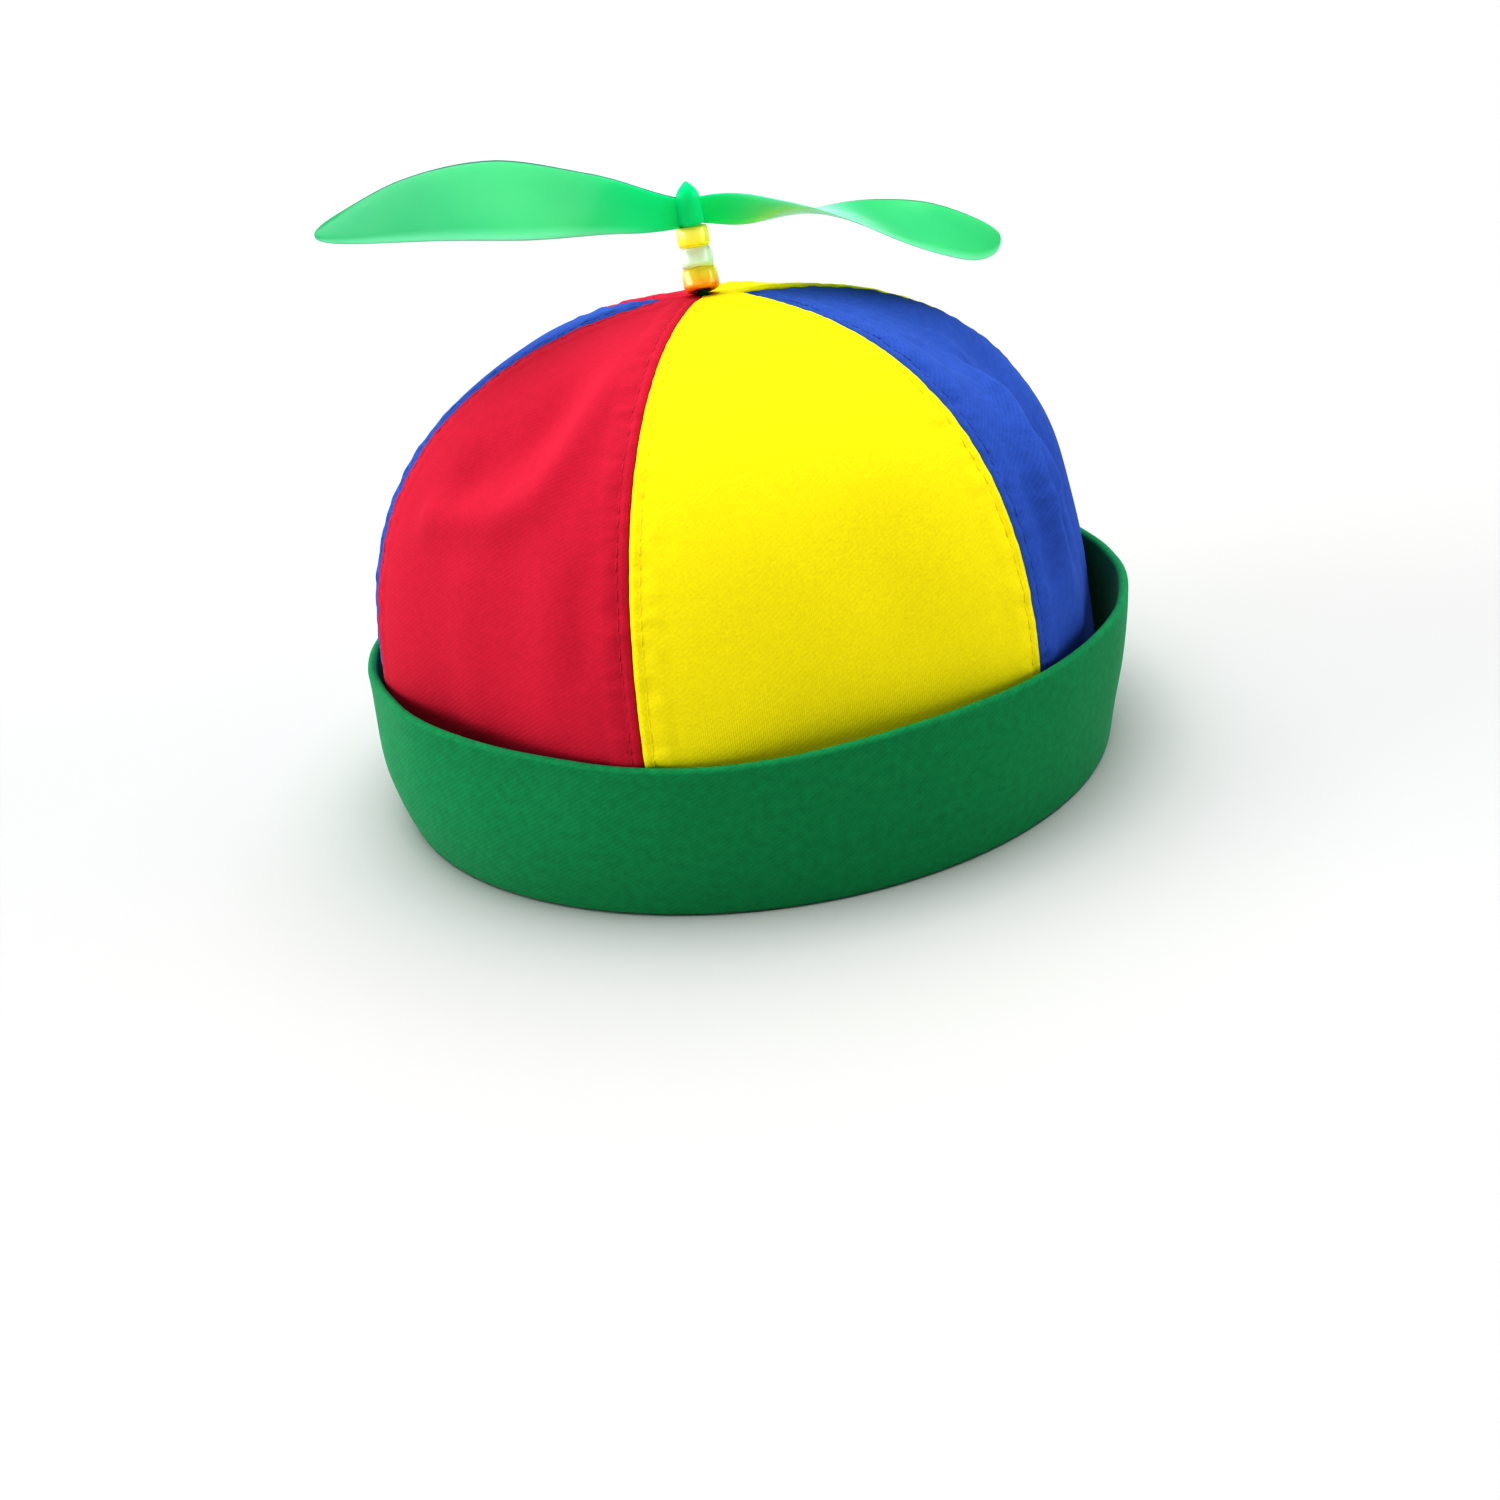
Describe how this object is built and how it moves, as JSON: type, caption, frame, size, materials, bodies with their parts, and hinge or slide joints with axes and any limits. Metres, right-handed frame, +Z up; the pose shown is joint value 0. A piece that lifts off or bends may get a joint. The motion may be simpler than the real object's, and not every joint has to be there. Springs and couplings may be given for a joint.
{
  "type": "propeller beanie",
  "caption": "Cotton cap of coloured panels with a turned-up cuff and a propeller that spins on a beaded stem.",
  "frame": {"origin": "middle of the cuff's underside, on the surface that the beanie rests on", "axes": "+Z up through the crown, -Y to the front, +X to the right as seen from the front, the long way of the head near X"},
  "size_m": [0.207, 0.1953, 0.1594],
  "materials": {
    "twill_red": "matte cotton twill",
    "twill_yellow": "matte cotton twill",
    "twill_blue": "matte cotton twill",
    "twill_green": "matte cotton twill",
    "bead_orange": "glossy",
    "bead_pale_green": "glossy",
    "bead_yellow": "glossy",
    "plastic_green": "glossy, slightly translucent"
  },
  "bodies": {
    "hat": {"crown_panel_red_front": "twill_red", "crown_panel_yellow_front": "twill_yellow", "crown_panel_blue_right": "twill_blue", "crown_panel_yellow_back": "twill_yellow", "crown_panel_red_back": "twill_red", "crown_panel_blue_left": "twill_blue", "cuff": "twill_green", "bead_orange": "bead_orange", "bead_pale_green": "bead_pale_green", "bead_yellow": "bead_yellow", "post": "plastic_green"},
    "propeller": {"propeller": "plastic_green"}
  },
  "joints": [
    {"name": "propeller_spin", "type": "hinge", "parent": "hat", "child": "propeller", "pos_m": [0.00032, -0.00205, 0.13868], "axis": [-0.0085, -0.2198, 0.9755], "continuous": true}
  ]
}
